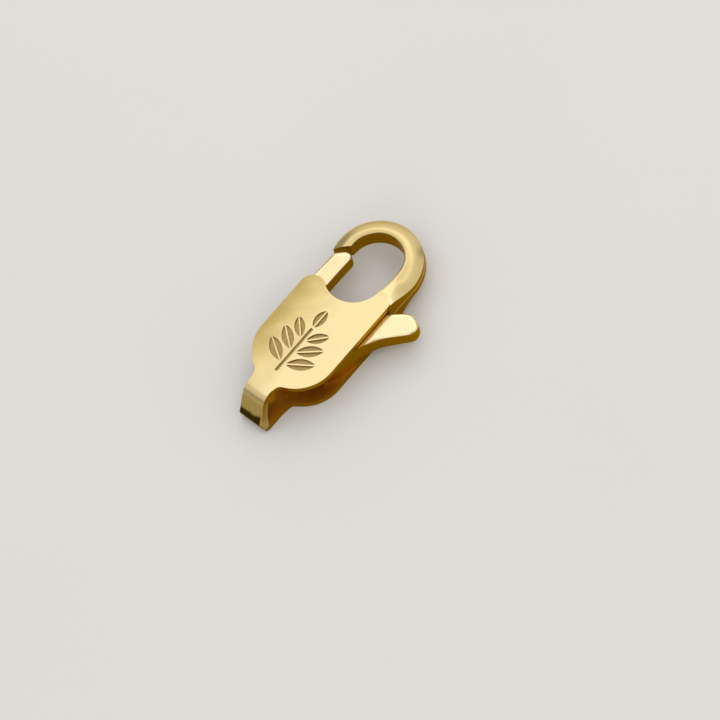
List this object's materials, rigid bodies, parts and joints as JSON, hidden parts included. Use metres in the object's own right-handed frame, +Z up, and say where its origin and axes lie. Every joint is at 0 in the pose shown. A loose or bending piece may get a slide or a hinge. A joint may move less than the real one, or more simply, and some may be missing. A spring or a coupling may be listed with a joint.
{
  "type": "lobster claw clasp",
  "caption": "Gold-tone lobster claw clasp: flat folded body with a tail loop and soldered hook, and a sprung gate lever with a thumb tab.",
  "frame": {"origin": "centre of the bounding box's underside, on the surface that the clasp lies on", "axes": "+Y along the clasp from the tail loop to the hook, +X towards the thumb tab, +Z up from the lower plate"},
  "size_m": [0.0118, 0.0222, 0.0037],
  "materials": {
    "body_gold": "satin gold-tone plating over brass",
    "lever_gold": "polished gold-tone plating over brass",
    "pin_brass": "plain turned brass",
    "spring_steel": "plain rolled steel"
  },
  "bodies": {
    "body": {"clasp_body": "body_gold", "pivot_pin": "pin_brass", "leaf_spring": "spring_steel"},
    "lever": {"lever": "lever_gold"}
  },
  "joints": [
    {"name": "gate_hinge", "type": "hinge", "parent": "body", "child": "lever", "pos_m": [0.0004, -0.00036, 0], "axis": [0, 0, 1], "range_deg": [-20, 0], "stiffness_Nm_per_rad": 0.012, "springref_deg": 14.32, "deforming": ["leaf_spring"]}
  ]
}
